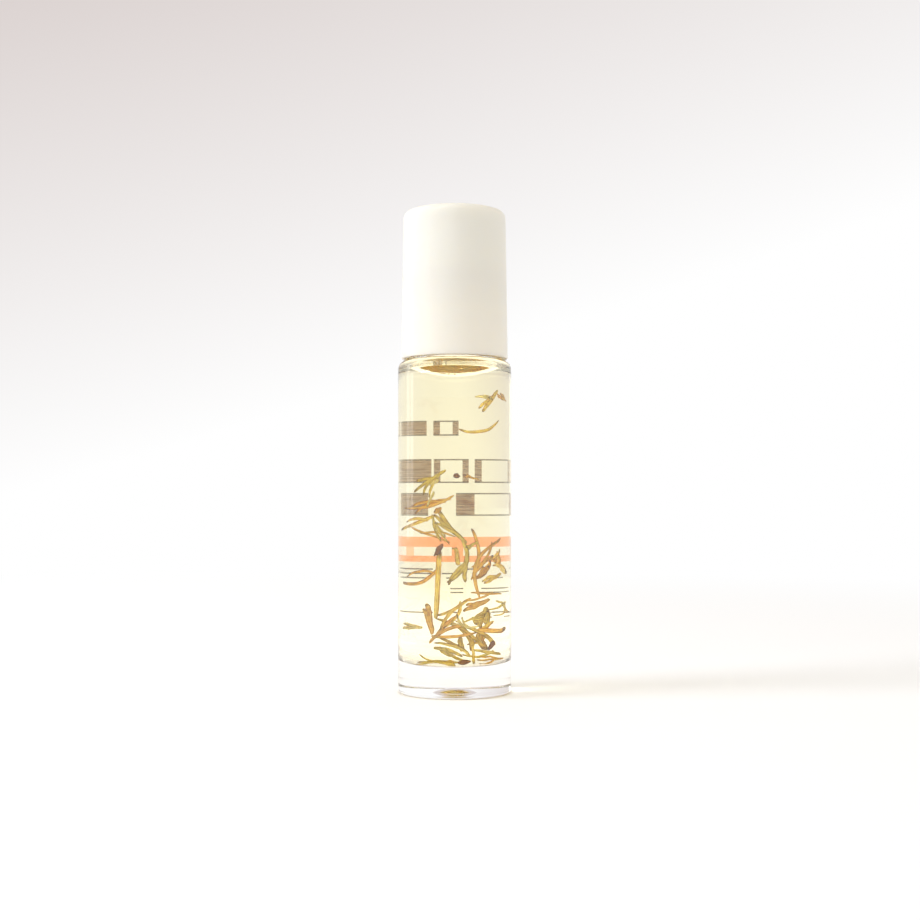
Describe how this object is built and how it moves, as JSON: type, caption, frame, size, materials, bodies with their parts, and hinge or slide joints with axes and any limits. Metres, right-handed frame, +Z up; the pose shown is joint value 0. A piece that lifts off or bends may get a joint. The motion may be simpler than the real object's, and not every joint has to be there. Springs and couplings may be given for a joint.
{
  "type": "roll-on essential oil bottle",
  "caption": "Clear glass roll-on bottle of pale oil with dried herbs, a film label on the back, a ball held in a neck plug, and a screw cap.",
  "frame": {"origin": "middle of the foot on the bottle's axis, on the surface that it stands on", "axes": "+Z up along the bottle's axis; the label is on the +Y side, and the front looks along -Y"},
  "size_m": [0.02, 0.0202, 0.0848],
  "materials": {
    "clear_glass": "polished, clear",
    "pale_oil": "clear pale yellow liquid",
    "white_cap_plastic": "satin",
    "natural_plastic": "natural, slightly milky",
    "soft_pad": "matt",
    "ball_steel": "polished",
    "label_film": "clear printed film",
    "olive_leaf": "dried leaf",
    "gold_leaf": "dried leaf",
    "pale_leaf": "dried leaf",
    "brown_leaf": "dried leaf",
    "dark_bud": "dried bud"
  },
  "bodies": {
    "bottle": {"glass_bottle": "clear_glass", "oil": "pale_oil", "back_label": "label_film", "roller_housing": "natural_plastic", "bud_01": "dark_bud", "bud_02": "pale_leaf", "bud_03": "brown_leaf", "bud_04": "dark_bud", "bud_05": "dark_bud", "bud_06": "dark_bud", "leaf_01": "gold_leaf", "leaf_02": "pale_leaf", "leaf_03": "brown_leaf", "leaf_04": "gold_leaf", "leaf_05": "olive_leaf", "leaf_06": "brown_leaf", "leaf_07": "brown_leaf", "leaf_08": "gold_leaf", "leaf_09": "brown_leaf", "leaf_10": "olive_leaf", "leaf_11": "olive_leaf", "leaf_12": "olive_leaf", "leaf_13": "brown_leaf", "leaf_14": "gold_leaf", "leaf_15": "olive_leaf", "leaf_16": "brown_leaf", "leaf_17": "gold_leaf", "leaf_18": "brown_leaf", "leaf_19": "pale_leaf", "leaf_20": "gold_leaf", "leaf_21": "brown_leaf", "leaf_22": "brown_leaf", "leaf_23": "gold_leaf", "leaf_24": "brown_leaf", "leaf_25": "pale_leaf", "leaf_26": "pale_leaf", "leaf_27": "olive_leaf", "leaf_28": "pale_leaf", "leaf_29": "olive_leaf", "leaf_30": "brown_leaf", "leaf_31": "olive_leaf", "leaf_32": "gold_leaf", "leaf_33": "pale_leaf", "leaf_34": "olive_leaf", "leaf_35": "olive_leaf", "leaf_36": "olive_leaf", "leaf_37": "gold_leaf", "leaf_38": "olive_leaf", "leaf_39": "brown_leaf", "stem_01": "gold_leaf", "stem_02": "pale_leaf", "stem_03": "brown_leaf", "stem_04": "gold_leaf"},
    "roller_ball": {"roller_ball": "ball_steel"},
    "cap_liner": {"cap_liner": "soft_pad"},
    "cap": {"cap": "white_cap_plastic"}
  },
  "joints": [
    {"name": "ball_roll", "type": "hinge", "parent": "bottle", "child": "roller_ball", "pos_m": [0, 0, 0.076], "axis": [1, 0, 0], "continuous": true},
    {"name": "cap_lift", "type": "slide", "parent": "bottle", "child": "cap_liner", "axis": [0, 0, 1], "range_m": [0, 0.0254]},
    {"name": "cap_turn", "type": "hinge", "parent": "cap_liner", "child": "cap", "pos_m": [0, 0, 0.0588], "axis": [0, 0, 1], "range_deg": [0, 2880]}
  ],
  "couplings": [
    {"joint": "cap_lift", "follows": "cap_turn", "m_per_rad": 0.00050532}
  ]
}
